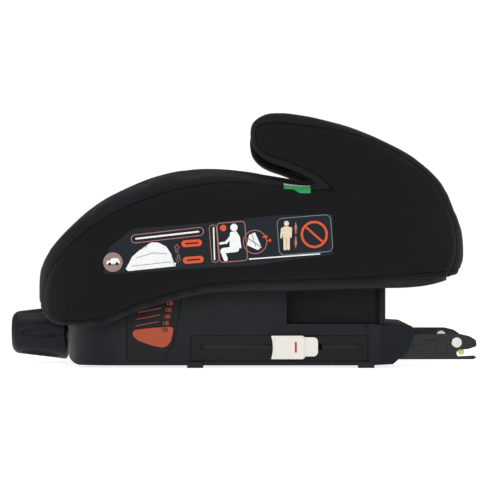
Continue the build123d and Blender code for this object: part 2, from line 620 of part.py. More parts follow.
def build_base():
    save("base_housing", base_housing())
    save("base_pan", base_pan())
    save("guide_posts", guide_posts(), other_side(guide_posts()))
    feet = feet_boxes()
    save("rubber_feet", *feet, *[other_side(f) for f in feet])
    save_pair("arm_guide", arm_guide())
    panel, marker, lines = scale_parts()
    save("scale_panels", panel, other_side(panel))
    save("scale_markers", marker, other_side(marker))
    save("scale_lines", *lines, *[other_side(line) for line in lines])
    track = side_insert(track_face(), track_face(FLANGE))
    (y0, y1), (z0, z1) = TRACK_SLOT_Y, TRACK_SLOT_Z
    mid_z, end = (z0 + z1) / 2, (z1 - z0) / 2
    track -= slab_x(slot_face((y0 + end, mid_z), (y1 - end, mid_z), end), 150, 170)
    save_pair("track", track)
    screws = []
    for x, y, _ in BASE_SCREWS:
        screw = rod_z(SCREW_HEAD, BASE_BOTTOM_Z + 0.3, SCREW_HEAD_TOP_Z, x, y)
        screw += rod_z(SCREW_SHANK, SCREW_HEAD_TOP_Z, 22, x, y)
        screws += [screw, other_side(screw)]
    save("base_screws", *screws)
    bushes = []
    bore = SCREW_RADIUS + RUNNING_CLEARANCE
    for y0, y1 in SCREW_BEARINGS:
        bushes.append(rod_y(bore + BEARING_WALL, y0, y1) - rod_y(bore, y0 - 1, y1 + 1))
    save("screw_bearings", *bushes)


# ---------------------------------------------------------------- height drive
def ramp_plate():
    outline = rounded(RAMP_POINTS, RAMP_CORNERS)
    plate = slab_x(outline, RAMP_X - RAMP_THICKNESS / 2, RAMP_X + RAMP_THICKNESS / 2)
    rise = tan(radians(RAMP_ANGLE))
    for pin_y in PIN_YS:
        # in the carriage's frame a pin runs down the slot to the front as the seat goes down
        down, up = LIFT_DOWN * LIFT[1] + 0.6, LIFT_UP * LIFT[1] + 0.6
        low = (pin_y - down / rise, PIN_Z - down)
        high = (pin_y + up / rise, PIN_Z + up)
        plate -= slab_x(slot_face(low, high, BUSH_RADIUS + SLOT_CLEARANCE), 0, 200)
    return plate


def carriage_beam():
    half = RAMP_X - RAMP_THICKNESS / 2
    beam = block(-half, half, NUT_Y - 10, NUT_Y + 10, *CARRIAGE_Z)
    y0, y1 = NUT_Y - NUT_LENGTH / 2 - 2, NUT_Y + NUT_LENGTH / 2 + 2
    beam += block(-NUT_RADIUS - 3, NUT_RADIUS + 3, y0, y1, SCREW_Z - 13, CARRIAGE_Z[0] + 1)
    beam -= rod_y(NUT_RADIUS, y0 + 2, y1 - 2)
    return beam - rod_y(SCREW_RADIUS + 1, y0 - 1, y1 + 1)


def knob():
    """A tapered grip with scooped sides."""
    length = KNOB_REAR_Y - KNOB_FRONT_Y
    profile = rounded([(0, KNOB_FRONT_Y), (KNOB_FRONT_RADIUS, KNOB_FRONT_Y), (KNOB_REAR_RADIUS, KNOB_REAR_Y),
                       (0, KNOB_REAR_Y)], [0, 9, 3, 0])
    body = Pos(0, 0, SCREW_Z) * revolve(profile, axis=Axis.Y)
    for i in range(KNOB_GRIPS):
        angle = 360 / KNOB_GRIPS * i
        mid_radius = (KNOB_FRONT_RADIUS + KNOB_REAR_RADIUS) / 2
        scoop = scale(Sphere(1), by=GRIP_SCOOP)
        scoop = Pos(mid_radius + GRIP_RISE, KNOB_FRONT_Y + length * 0.52, 0) * Rot(0, 0, -7) * scoop
        body -= Pos(0, 0, SCREW_Z) * Rot(0, angle, 0) * scoop
    return body - rod_y(SCREW_RADIUS, KNOB_REAR_Y - KNOB_BORE, KNOB_REAR_Y + 1)


def build_drive():
    plate = ramp_plate()
    save_pair("ramp_plate", plate)
    save("carriage_beam", carriage_beam())
    nut = rod_y(NUT_RADIUS, NUT_Y - NUT_LENGTH / 2, NUT_Y + NUT_LENGTH / 2)
    save("drive_nut", nut - rod_y(SCREW_RADIUS + RUNNING_CLEARANCE, NUT_Y - 20, NUT_Y + 20))
    (radius, y, z), half = TIE_ROD, RAMP_X - RAMP_THICKNESS / 2
    save("carriage_tie", rod_x(radius, -half, half, y, z))
    save("lead_screw", rod_y(SCREW_RADIUS, KNOB_REAR_Y - KNOB_BORE, SCREW_REAR_Y))
    save("knob", knob())
    rings = []
    for _, bearing_end in SCREW_BEARINGS:
        y = bearing_end + 0.3
        rings.append(rod_y(RING_RADIUS, y, y + RING_THICKNESS) - rod_y(SCREW_RADIUS, y - 1, y + 3))
    save("retaining_rings", *rings)


# ---------------------------------------------------------------- ISOFIX arms
def arm_outline():
    start = (ARM_FRONT_Y, ARM_BOTTOM_Z)
    top = [(ARM_FRONT_Y, ARM_TOP_Z), (221.3, ARM_TOP_Z - 0.6), (230.1, 30.9), (235.7, 27.4),
           (ARM_TIP_Y, 22.6), (236, 21)]
    z0, z1 = MOUTH_Z - MOUTH_RADIUS, MOUTH_Z + MOUTH_RADIUS
    mouth = [(228, z1 + 0.4), (MOUTH_Y, z1)]
    lower = [(MOUTH_Y, z0), (234.9, z0 + 0.8), (ARM_TIP_Y, 9.8), (233, ARM_BOTTOM_Z)]
    round_end = ThreePointArc(mouth[-1], (MOUTH_Y - MOUTH_RADIUS, MOUTH_Z), lower[0])
    return make_face(Polyline(start, *top, *mouth) + round_end + Polyline(*lower, start))


def arm_plates():
    """The two cheeks of the arm on the +X side; the outer one is first."""
    outline = arm_outline()
    outer_x = ARM_X + ARM_WIDTH / 2
    outer = slab_x(outline, outer_x - PLATE, outer_x)
    inner = slab_x(outline, outer_x - ARM_WIDTH, outer_x - ARM_WIDTH + PLATE)
    (y0, y1), (z0, z1) = ROD_WINDOW_Y, ROD_WINDOW_Z
    outer -= slab_x(rounded([(y0, z0), (y1, z0), (y1, z1), (y0, z1)], 2), 140, 160)
    holes = rod_x(CLAW_PIN_RADIUS, 100, 160, CLAW_Y, CLAW_Z) + rod_x(SEAR_PIN_RADIUS, 100, 160, *SEAR_PIVOT)
    for y0, y1, z0, z1 in TENONED_SPACERS:
        g = TENON_SHOULDER - FIT_GAP
        holes += block(100, 160, y0 + g, y1 - g, z0 + g, z1 - g)
    return outer - holes, inner - holes


def polar(radius, degrees):
    return CLAW_Y + radius * cos(radians(degrees)), CLAW_Z + radius * sin(radians(degrees))


def claw():
    def finger(radius, degrees, tip):
        return slot_face((CLAW_Y, CLAW_Z), polar(radius, degrees), tip)
    face = (Pos(CLAW_Y, CLAW_Z) * Circle(6.3)) + finger(11, -61, 3) + finger(13.5, 8, 2.5)
    face -= Pos(CLAW_Y, CLAW_Z) * Circle(CLAW_PIN_RADIUS + RUNNING_CLEARANCE)
    return slab_x(face, ARM_X - CLAW_THICKNESS / 2, ARM_X + CLAW_THICKNESS / 2)


def sear():
    y, z = SEAR_PIVOT
    face = Pos(y, z) * Circle(4.5) + rounded([(y, z - 2), (208.5, 24.2), (208.5, 27.5), (y, z + 3)], 0.6)
    face += rounded([(y - 3.5, z), (y + 3.5, z), (y + 1.5, 15), (y - 1.5, 15)], 0.6)
    face -= Pos(y, z) * Circle(SEAR_PIN_RADIUS + RUNNING_CLEARANCE)
    return slab_x(face, ARM_X - 3, ARM_X - 0.5)


def slider_cap():
    (y0, y1), (z0, z1) = SLIDER_Y, SLIDER_Z
    x0, x1 = BASE_HALF_WIDTH + 0.3, SLIDER_X[1]
    cap = slab_x(rounded([(y0, z0), (y1, z0), (y1, z1), (y0, z1)], [2, 3, 3, 2]), x0, x1)
    cap -= rod_x(40, x0 - 1, x1 + 1, y0 - 37.5, (z0 + z1) / 2)
    cap += block(SLIDER_X[0], x0, y0 + 6, y1 - 9, z0 + 1, z1 - 1)
    cap += block(ARM_X + ARM_WIDTH / 2, SLIDER_X[0], 36, 56, TRACK_SLOT_Z[0] + 0.5, TRACK_SLOT_Z[1] - 0.5)
    g = BUTTON_CLEARANCE
    cap -= block(SLIDER_X[0] + 0.6, BUTTON_X[1] + g, 45, y1 + 1, BUTTON_Z[0] - g, BUTTON_Z[1] + g)
    cap -= block(x1 - 2, x1 + 1, 54.9, 56.9, 15.5, 26)
    return cap - block(x1 - 0.5, x1 + 1, 34.6, 35.4, z0 + 2, z1 - 2)


def release_button():
    (z0, z1), (x0, x1) = BUTTON_Z, BUTTON_X
    y0, y1 = BUTTON_INNER_Y, BUTTON_END_Y
    return slab_x(rounded([(y0, z0), (y1, z0), (y1, z1), (y0, z1)], [0, 4.5, 4.5, 0]), x0, x1)


def release_rod():
    neck = block(140.5, BUTTON_X[0], 68, 74, TRACK_SLOT_Z[0] + 0.5, TRACK_SLOT_Z[1] - 0.5)
    neck += block(140.5, 143.5, 68, 74, TRACK_SLOT_Z[0] + 0.5, 29.5)
    return neck + rod_y(1.5, 73, 181.5, 142.0, 28.0)


def build_arms():
    outer, inner = arm_plates()
    save_pair("arm_plate_outer", outer)
    save_pair("arm_plate_inner", inner)
    inner_x = ARM_X - ARM_WIDTH / 2
    tube = rod_x(CROSS_TUBE_RADIUS, -inner_x, inner_x, CROSS_TUBE_Y, CROSS_TUBE_Z)
    bore = rod_x(CROSS_TUBE_RADIUS - 1.5, -inner_x - 1, inner_x + 1, CROSS_TUBE_Y, CROSS_TUBE_Z)
    save("cross_tube", tube - bore)
    x0, x1 = inner_x + PLATE, ARM_X + ARM_WIDTH / 2 - PLATE
    spacers = [block(x0, x1, *edges) for edges in PLAIN_SPACERS]
    for y0, y1, z0, z1 in TENONED_SPACERS:
        s = TENON_SHOULDER
        tenon = block(x0 - PLATE - TENON_PROUD, x1 + PLATE + TENON_PROUD, y0 + s, y1 - s, z0 + s, z1 - s)
        spacers.append(block(x0, x1, y0, y1, z0, z1) + tenon)
    save("arm_spacers", *spacers, *[other_side(b) for b in spacers])
    out = ARM_X + ARM_WIDTH / 2
    rivet = rod_x(CLAW_PIN_RADIUS, inner_x, out, CLAW_Y, CLAW_Z)
    for x in (inner_x - RIVET_HEAD, out):
        rivet += rod_x(RIVET_HEAD_RADIUS, x, x + RIVET_HEAD, CLAW_Y, CLAW_Z)
    save_pair("claw_rivet", rivet)
    pin = rod_x(SEAR_PIN_RADIUS, inner_x, out, *SEAR_PIVOT)
    save("sear_pins", pin, other_side(pin))
    save_pair("claw", claw())
    save_pair("sear", sear())
    save_pair("slider", slider_cap())
    save_pair("release_button", release_button())
    save_pair("release_rod", release_rod())
    flag = block(SLIDER_X[0] + 3.6, BUTTON_X[1] - 0.1, 53.8, 59.8, 14.5, 27)
    save_pair("indicator_flag", flag)


build_seat()
build_base()
build_drive()
build_arms()
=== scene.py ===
"""Looks for the child booster seat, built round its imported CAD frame.

Everything is in metres, in the frame's axes: +Z up, -Y the way the child faces, +X the child's left.
"""
import json
import math

import bmesh
import bpy
import numpy as np
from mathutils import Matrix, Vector
from mathutils.bvhtree import BVHTree


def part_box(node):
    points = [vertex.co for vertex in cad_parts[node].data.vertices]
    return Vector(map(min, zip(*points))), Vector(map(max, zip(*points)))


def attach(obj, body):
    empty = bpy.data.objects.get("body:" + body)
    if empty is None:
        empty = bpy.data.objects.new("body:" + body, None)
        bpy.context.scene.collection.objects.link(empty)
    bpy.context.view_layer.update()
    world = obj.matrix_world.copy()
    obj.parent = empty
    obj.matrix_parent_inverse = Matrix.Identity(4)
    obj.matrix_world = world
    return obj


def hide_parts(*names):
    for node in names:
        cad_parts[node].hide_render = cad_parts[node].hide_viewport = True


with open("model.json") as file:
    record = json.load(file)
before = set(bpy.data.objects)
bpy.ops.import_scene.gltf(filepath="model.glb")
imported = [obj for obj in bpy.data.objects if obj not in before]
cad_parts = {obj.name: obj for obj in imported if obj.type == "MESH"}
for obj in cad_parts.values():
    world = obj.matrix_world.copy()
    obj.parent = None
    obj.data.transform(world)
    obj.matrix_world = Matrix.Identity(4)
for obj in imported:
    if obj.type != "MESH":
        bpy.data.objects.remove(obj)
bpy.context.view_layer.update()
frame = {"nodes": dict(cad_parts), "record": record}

MM = 0.001
SIDES = {"left": 1, "right": -1}
NODES = frame["nodes"]
SOFT_NODES = ["seat_cover", "seat_foam", "side_foam_left", "side_foam_right",
              "armrest_foam_left", "armrest_foam_right"]
HORNS = ["armrest_horn_left", "armrest_horn_right"]

# ---------------------------------------------------------------- sizes the looks are built from
VOXEL = 5.0 * MM              # mesh size of the padded body before it is subdivided
HELD_WITHIN = 2.0 * MM        # nearer to the hard shell than this the padding can't move,
FREE_BEYOND = 8.0 * MM        # and further off than this it is free
EDGE_SMOOTHING = 22           # passes that round the padding's edges
# moved out to match the photo's outline, where smoothing had pulled the padding in
REAR_FULLNESS = 6.0 * MM      # at the rear
TOP_FULLNESS = 4.0 * MM       # on top of the armrests
DRAWN_OFF = 0.8 * MM          # what lies against the hard shell is moved this far from it
SIM_FRAMES = 16
SIM_CAP = 4.0 * MM            # how far the stuffing may push the cover
DISH_DEPTH = 5.0 * MM         # hollow of the seating surface
DISH_HALF_WIDTH = 158.0 * MM
TOP_SEAM_X = 128.0 * MM       # the two seams along the seating surface
DECK_EDGE_X = 160.0 * MM      # inside this, what faces up is the seating surface
HEM_HEIGHT = 6.0 * MM
SECOND_HEM = 4.6 * MM         # a second, shallower row of stitches over the hem
SIDE_SLACK = 0.25 * MM        # height of the fabric's undulations
DECK_SLACK = 0.45 * MM
FAR_FROM_SEAM = 12.0          # millimetres, where the fabric's material stops looking for a seam
EDGE_WEAR = 0.25 * MM         # bevel on the hard parts' edges
EDGE_ANGLE = math.radians(40) # what counts as an edge
JOINED_WITHIN = 0.01 * MM     # nodes' points nearer than this are welded before the bevel


def side_name(side):
    return "left" if side > 0 else "right"


def place(name, data):
    made = bpy.data.objects.new(name, data)
    bpy.context.scene.collection.objects.link(made)
    return made


# ---------------------------------------------------------------- materials
LOOPS_PER_METRE = 620.0       # of the knit, which the ink on it follows
MOULD_GRAIN = 1500.0          # scale of the grain that moulded plastic is given
SCRATCH_DEPTH = 0.03 * MM


def new_material(name, color, roughness, **sockets):
    """A Principled material; sockets sets more of its inputs by name, with _ for a space."""
    material = bpy.data.materials.new(name)
    material.use_nodes = True
    shader = shader_of(material)
    shader.inputs["Base Color"].default_value = (*color, 1)
    shader.inputs["Roughness"].default_value = roughness
    for key, value in sockets.items():
        shader.inputs[key.replace("_", " ")].default_value = value
    return material


def shader_of(material):
    return material.node_tree.nodes["Principled BSDF"]


def add_node(material, kind, **settings):
    """A node of the material; settings names its properties, or its inputs with _ for a space."""
    node = material.node_tree.nodes.new(kind)
    for key, value in settings.items():
        if hasattr(node, key):
            setattr(node, key, value)
        else:
            node.inputs[key.replace("_", " ")].default_value = value
    return node


def link(material, output, target):
    material.node_tree.links.new(output, target)


def object_coords(material, scale=(1, 1, 1)):
    coords = add_node(material, "ShaderNodeTexCoord")
    mapping = add_node(material, "ShaderNodeMapping")
    mapping.inputs["Scale"].default_value = scale
    link(material, coords.outputs["Object"], mapping.inputs["Vector"])
    return mapping.outputs["Vector"]


def noise(material, scale, detail=3.0, stretch=(1, 1, 1)):
    node = add_node(material, "ShaderNodeTexNoise", Scale=scale, Detail=detail)
    link(material, object_coords(material, stretch), node.inputs["Vector"])
    return node.outputs["Fac"]


def remap(material, value, low, high, from_low=0.0, from_high=1.0):
    node = add_node(material, "ShaderNodeMapRange")
    for key, number in (("From Min", from_low), ("From Max", from_high), ("To Min", low), ("To Max", high)):
        node.inputs[key].default_value = number
    link(material, value, node.inputs["Value"])
    return node.outputs["Result"]


def math_node(material, operation, a, b=None):
    node = add_node(material, "ShaderNodeMath", operation=operation)
    for socket, value in zip(node.inputs, (a, b)):
        if value is None:
            continue
        if isinstance(value, (int, float)):
            socket.default_value = value
        else:
            link(material, value, socket)
    return node.outputs[0]


def color_socket(node, name):
    """The colour version of a Mix node's A, B or Result socket."""
    return [s for s in (*node.inputs, *node.outputs) if s.name == name and s.type == "RGBA"][0]


def mixed(material, factor, a, b):
    node = add_node(material, "ShaderNodeMix", data_type="RGBA")
    link(material, factor, node.inputs[0])
    for name, value in (("A", a), ("B", b)):
        socket = color_socket(node, name)
        if isinstance(value, tuple):
            socket.default_value = (*value, 1)
        else:
            link(material, value, socket)
    return color_socket(node, "Result")


def bump(material, height, distance, strength=1.0, below=None):
    node = add_node(material, "ShaderNodeBump", Distance=distance, Strength=strength)
    link(material, height, node.inputs["Height"])
    if below is not None:
        link(material, below, node.inputs["Normal"])
    return node.outputs["Normal"]


def moulded(name, color, roughness, grain=0.06, grain_scale=MOULD_GRAIN, variation=0.15, shine=0.2):
    """Moulded plastic with a fine spark-eroded grain."""
    material = new_material(name, color, roughness, Specular_IOR_Level=shine)
    shader = shader_of(material)
    cloudy = noise(material, 22.0, 4.0)
    dark = tuple(c * (1 - variation) for c in color)
    light = tuple(min(1.0, c * (1 + variation)) for c in color)
    link(material, mixed(material, cloudy, dark, light), shader.inputs["Base Color"])
    link(material, remap(material, noise(material, 60.0), roughness - 0.07, roughness + 0.08),
         shader.inputs["Roughness"])
    link(material, bump(material, noise(material, grain_scale, 2.0), grain * MM), shader.inputs["Normal"])
    return material


def metal(name, color, roughness, stretch=(1, 1, 1), metallic=1.0):
    """Rolled or plated metal with fine directional scratches."""
    material = new_material(name, color, roughness, Metallic=metallic)
    shader = shader_of(material)
    streaks = noise(material, 500.0, 3.0, stretch)
    link(material, remap(material, streaks, roughness - 0.1, roughness + 0.14), shader.inputs["Roughness"])
    patchy = noise(material, 45.0, 4.0)
    dull = tuple(c * 0.82 for c in color)
    link(material, mixed(material, patchy, dull, color), shader.inputs["Base Color"])
    link(material, bump(material, streaks, SCRATCH_DEPTH), shader.inputs["Normal"])
    return material


def cover_fabric():
    """Black stretch knit. Attributes on the mesh say how far each point is from the seams, in millimetres."""
    # strip is lighter and bluer than panel: a painted highlight that stands in for the light falling on the
    # strip over the top and rear edges
    panel, strip, thread = (0.0056, 0.0056, 0.0059), (0.0110, 0.0110, 0.0140), (0.002, 0.002, 0.002)
    # the lighter fibre colour here is a painted highlight on the fibres
    fibre_highlight, shade = (0.0115, 0.0115, 0.0128), (0.0045, 0.0045, 0.0048)
    material = new_material("cover_knit", panel, 0.92, Sheen_Weight=0.03, Sheen_Roughness=0.5,
                            Specular_IOR_Level=0.1)
    shader = shader_of(material)

    def attribute(name):
        return add_node(material, "ShaderNodeAttribute", attribute_name=name).outputs["Fac"]

    side = attribute("side_seam")
    # mixes the side panel's colour with the strip's painted highlight, across the side seam
    which = remap(material, side, 0.0, 1.0, -0.4, 0.4)
    cloth = mixed(material, which, strip, panel)
    fibres = noise(material, 1400.0, 2.0)
    cloudy = noise(material, 9.0, 3.0)
    # fine lighter specks: painted highlights on the fibres
    cloth = mixed(material, remap(material, fibres, 0.0, 0.5, 0.35, 0.75), cloth, fibre_highlight)
    cloth = mixed(material, remap(material, cloudy, 0.0, 0.35, 0.4, 0.8), cloth, shade)
    nearest = math_node(material, "ABSOLUTE", side)
    for name in ("top_seam", "hem_seam"):
        nearest = math_node(material, "MINIMUM", nearest, math_node(material, "ABSOLUTE", attribute(name)))
    seam_line = remap(material, nearest, 1.0, 0.0, 0.25, 0.95)
    link(material, mixed(material, seam_line, cloth, thread), shader.inputs["Base Color"])

    # knit: rows of small loops, with the fibres over them
    loops = add_node(material, "ShaderNodeTexVoronoi", Scale=LOOPS_PER_METRE)
    link(material, object_coords(material, (1.0, 1.0, 0.72)), loops.inputs["Vector"])
    ribs = add_node(material, "ShaderNodeTexWave", Scale=105.0, Distortion=1.2)
    ribs.bands_direction = "Y"
    ribs.inputs["Detail Scale"].default_value = 3.0
    link(material, object_coords(material), ribs.inputs["Vector"])
    normal = bump(material, loops.outputs["Distance"], 0.22 * MM, 0.55)
    normal = bump(material, ribs.outputs["Fac"], 0.10 * MM, 0.5, normal)
    normal = bump(material, remap(material, nearest, 0.0, 1.0, 0.0, 1.2), 0.5 * MM, 0.9, normal)
    link(material, normal, shader.inputs["Normal"])
    return material


def print_ink(name, color):
    """Screen-printed ink: it lets a little of the knit through."""
    material = new_material(name, color, 0.75, Specular_IOR_Level=0.25)
    shader = shader_of(material)
    weave = add_node(material, "ShaderNodeTexVoronoi", Scale=LOOPS_PER_METRE)
    link(material, object_coords(material), weave.inputs["Vector"])
    worn = tuple(c * 0.72 for c in color)
    between = remap(material, weave.outputs["Distance"], 0.0, 0.6, 0.2, 0.8)
    link(material, mixed(material, between, color, worn), shader.inputs["Base Color"])
    link(material, bump(material, weave.outputs["Distance"], 0.12 * MM, 0.5), shader.inputs["Normal"])
    return material


MATERIALS = {
    "cover": cover_fabric(),
    "base_plastic": moulded("base_plastic", (0.0056, 0.0076, 0.0100), 0.42, shine=0.15),
    "inner_plastic": moulded("inner_plastic", (0.0070, 0.0070, 0.0075), 0.55),
    "panel_plastic": moulded("panel_plastic", (0.0040, 0.0050, 0.0064), 0.36, 0.03, shine=0.15),
    "white_plastic": moulded("white_plastic", (0.78, 0.75, 0.69), 0.34, 0.015, MOULD_GRAIN, 0.03, 0.5),
    "orange_plastic": moulded("orange_plastic", (0.40, 0.058, 0.018), 0.42, 0.02, MOULD_GRAIN, 0.06, 0.3),
    "indicator": moulded("indicator_red", (0.55, 0.02, 0.02), 0.35, 0.01, MOULD_GRAIN, 0.05),
    "slick_plastic": moulded("slick_plastic", (0.05, 0.05, 0.052), 0.3, 0.01),
    "arm_steel": metal("arm_steel", (0.0075, 0.0075, 0.0090), 0.36, (1, 0.04, 1), 0.4),
    "zinc_steel": metal("zinc_steel", (0.62, 0.61, 0.59), 0.3, (1, 0.2, 1)),
    "claw_steel": metal("claw_steel", (0.62, 0.50, 0.22), 0.33),
    "bronze": metal("bronze", (0.42, 0.27, 0.12), 0.42),
    "rubber": moulded("rubber", (0.015, 0.017, 0.020), 0.75, 0.12, 900.0),
}
LOOKS = {"arm_spacers": "arm_steel"}  # pieces that are painted with what they are fixed to


def dress_cad_nodes():
    """Gives each carried-over CAD node its material, and a small bevel that catches the light."""
    slots = {row["node"]: row["material_slot"] for row in frame["record"]["subparts"]}
    for name, node in NODES.items():
        material = MATERIALS.get(LOOKS.get(name, slots[name]), MATERIALS["inner_plastic"])
        node.data.materials.clear()
        node.data.materials.append(material)
        if name in SOFT_NODES:
            continue
        weld = node.modifiers.new("weld", "WELD")
        weld.merge_threshold = JOINED_WITHIN
        bevel = node.modifiers.new("worn_edges", "BEVEL")
        bevel.limit_method = "ANGLE"
        bevel.angle_limit = EDGE_ANGLE
        bevel.width = EDGE_WEAR
        bevel.segments = 2
        bevel.use_clamp_overlap = False


# ---------------------------------------------------------------- mesh helpers
def evaluated_copy(source, name):
    depsgraph = bpy.context.evaluated_depsgraph_get()
    return place(name, bpy.data.meshes.new_from_object(source.evaluated_get(depsgraph)))


def vectors_of(mesh, what):
    flat = np.empty(len(mesh.vertices) * 3, np.float32)
    mesh.vertices.foreach_get(what, flat)
    return flat.reshape(-1, 3).astype(float)


def points_of(mesh):
    return vectors_of(mesh, "co")


def normals_of(mesh):
    return vectors_of(mesh, "normal")


def set_points(mesh, points):
    mesh.vertices.foreach_set("co", points.astype(np.float32).ravel())
    mesh.update()


def edges_of(mesh):
    flat = np.empty(len(mesh.edges) * 2, np.int32)
    mesh.edges.foreach_get("vertices", flat)
    return flat.reshape(-1, 2)


def smooth_points(points, edges, weights, passes, shrink=0.6, swell=-0.62):
    """Rounds edges without shrinking the body: each pass smooths, and then puts most of it back (Taubin)."""
    count = np.bincount(edges.ravel(), minlength=len(points))[:, None]
    for factor in passes * (shrink, swell):
        total = np.zeros_like(points)
        for axis in range(3):
            total[:, axis] += np.bincount(edges[:, 0], points[edges[:, 1], axis], len(points))
            total[:, axis] += np.bincount(edges[:, 1], points[edges[:, 0], axis], len(points))
        points = points + factor * weights[:, None] * (total / np.maximum(count, 1) - points)
    return points


def tree_of(*meshes):
    """A search tree over some meshes."""
    joined = bmesh.new()
    for mesh in meshes:
        joined.from_mesh(mesh)
    tree = BVHTree.FromBMesh(joined)
    joined.free()
    return tree


def distances(tree, points, limit):
    """How far each point is from the tree's surface, up to limit."""
    found = np.full(len(points), limit)
    for i, point in enumerate(points):
        hit = tree.find_nearest(point, limit)
        if hit[0] is not None:
            found[i] = hit[3]
    return found


def smoothstep(values, low, high):
    t = np.clip((values - low) / (high - low), 0, 1)
    return t * t * (3 - 2 * t)


def curve_through(points, steps=8):
    """A smooth line through a few (Y, Z) points in millimetres, given in metres (Catmull-Rom)."""
    p = np.array(points, float) * MM
    p = np.vstack([2 * p[0] - p[1], p, 2 * p[-1] - p[-2]])
    line = []
    for a, b, c, d in zip(p[:-3], p[1:-2], p[2:-1], p[3:]):
        for t in np.linspace(0, 1, steps, endpoint=False):
            line.append(0.5 * (2 * b + (c - a) * t + (2 * a - 5 * b + 4 * c - d) * t * t
                               + (3 * b - a - 3 * c + d) * t ** 3))
    return np.array(line + [p[-2]])


def distance_to_line(points, line):
    """Distance from each (Y, Z) point to a polyline."""
    best = np.full(len(points), 1.0)
    for a, b in zip(line[:-1], line[1:]):
        along = b - a
        t = np.clip(((points - a) @ along) / max(along @ along, 1e-12), 0, 1)
        best = np.minimum(best, np.linalg.norm(points - a - t[:, None] * along, axis=1))
    return best


def inside_outline(points, outline):
    """Which (Y, Z) points a closed outline holds."""
    inside = np.zeros(len(points), bool)
    y, z = points[:, 0], points[:, 1]
    for (y0, z0), (y1, z1) in zip(outline, np.roll(outline, -1, axis=0)):
        crosses = (z0 > z) != (z1 > z)
        with np.errstate(divide="ignore", invalid="ignore"):
            at = (y1 - y0) * (z - z0) / (z1 - z0) + y0
        inside ^= crosses & (y < at)
    return inside


# ---------------------------------------------------------------- the padded body and its cover
# where the side panel is sewn to the strip that runs over the edge, as (Y, Z) in millimetres
SIDE_SEAM = curve_through([(-193, 55), (-194.5, 70), (-193, 82), (-187.8, 96.6), (-174, 114.6),
                           (-154.4, 132.9), (-130.7, 149.1), (-109.2, 160.3), (-85.5, 169.6),
                           (-61, 176.9), (-33.6, 181.8), (-13, 183.7), (9.4, 183.2), (43.6, 179.5),
                           (70, 176.5), (90.6, 176.4)])
ARM_SEAM = curve_through([(90.6, 177.4), (81.5, 187.2), (65.2, 196.2), (45.6, 204.1), (27.6, 210.3),
                          (20.2, 216), (16.3, 224), (15.9, 234), (20.2, 239.6), (30.5, 241.8),
                          (45.6, 241.6), (60.3, 240), (82.8, 236.7), (105.3, 232), (124.8, 226.6),
                          (150, 215), (175, 199), (193, 181), (204, 161), (212, 141), (214.6, 121),
                          (211.5, 104), (206, 92)])
CREASES = [curve_through([(88, 175.6), (104, 172.6), (120, 171), (134, 170.6)]),
           curve_through([(92, 178), (102, 179), (114, 180.6)])]
WAVE = curve_through([(-208, 75), (-201, 59.5), (-186.5, 45.5), (-163.8, 41.4), (-133.5, 45.3),
                      (-100.6, 58.5), (-62, 70.2), (-26.8, 78.3), (5.5, 80.6), (51.5, 82), (112.2, 84),
                      (208.9, 90.8), (222, 92)])


def signed_side_distance(points):
    """How far inside the side panel's seam each point lies, seen from the side, in metres."""
    flat = points[:, 1:]
    line = np.vstack([SIDE_SEAM, ARM_SEAM])
    near = np.minimum(distance_to_line(flat, SIDE_SEAM), distance_to_line(flat, ARM_SEAM))
    outline = np.vstack([line, [(0.206, -0.1), (-0.193, -0.1)]])
    return np.where(inside_outline(flat, outline), near, -near)


def padded_blank():
    """The whole stuffed body as one even mesh."""
    joined = bmesh.new()
    for name in SOFT_NODES + HORNS:
        joined.from_mesh(NODES[name].data)
    mesh = bpy.data.meshes.new("padding_blank")
    joined.to_mesh(mesh)
    joined.free()
    rough = place("padding_blank", mesh)
    remesh = rough.modifiers.new("even", "REMESH")
    remesh.mode = "VOXEL"
    remesh.voxel_size = VOXEL
    made = evaluated_copy(rough, "padded_cover")
    bpy.data.objects.remove(rough)
    keep_largest_piece(made.data)
    return made


def keep_largest_piece(mesh):
    """Deletes all but the piece with the most points, which is the outside of the body."""
    working = bmesh.new()
    working.from_mesh(mesh)
    unseen, largest = set(working.verts), []
    while unseen:
        stack, piece = [unseen.pop()], []
        while stack:
            vertex = stack.pop()
            piece.append(vertex)
            for edge in vertex.link_edges:
                other = edge.other_vert(vertex)
                if other in unseen:
                    unseen.remove(other)
                    stack.append(other)
        if len(piece) > len(largest):
            largest = piece
    kept = set(largest)
    bmesh.ops.delete(working, geom=[v for v in working.verts if v not in kept], context="VERTS")
    working.to_mesh(mesh)
    working.free()


def stuff(body, freedom):
    """Lets the padding press the cover outwards a little, by a short cloth simulation."""
    mesh = body.data
    before = points_of(mesh)
    group = body.vertex_groups.new(name="held")
    for index in np.nonzero(freedom < 0.5)[0]:
        group.add([int(index)], 1.0, "REPLACE")
    cloth = body.modifiers.new("stuffing", "CLOTH")
    settings = cloth.settings
    settings.vertex_group_mass = "held"
    settings.quality = 4
    settings.mass = 0.25
    settings.tension_stiffness = 12
    settings.compression_stiffness = 12
    settings.shear_stiffness = 6
    settings.bending_stiffness = 0.6
    settings.use_pressure = True
    settings.uniform_pressure_force = 3.0
    settings.effector_weights.gravity = 0
    cloth.collision_settings.use_collision = False
    cloth.point_cache.frame_end = SIM_FRAMES
    for number in range(1, SIM_FRAMES + 1):
        bpy.context.scene.frame_set(number)
    after_mesh = evaluated_copy(body, "stuffed")
    after = points_of(after_mesh.data)
    bpy.data.objects.remove(after_mesh)
    body.modifiers.clear()
    bpy.context.scene.frame_set(1)
    move = after - before
    length = np.linalg.norm(move, axis=1, keepdims=True)
    move *= np.minimum(1, SIM_CAP / np.maximum(length, 1e-9))
    set_points(mesh, before + move * freedom[:, None])


def subdivided(body):
    """A finer copy of the body, which takes its place and name."""
    modifier = body.modifiers.new("finer", "SUBSURF")
    modifier.levels = modifier.render_levels = 1
    finer = evaluated_copy(body, "padded_cover_fine")
    name = body.name
    bpy.data.objects.remove(body)
    finer.name = name
    return finer


def groove(distance, width, depth):
    """How far a rounded groove pushes points that are at these distances from its middle."""
    return -depth * np.exp(-(distance / width) ** 2)


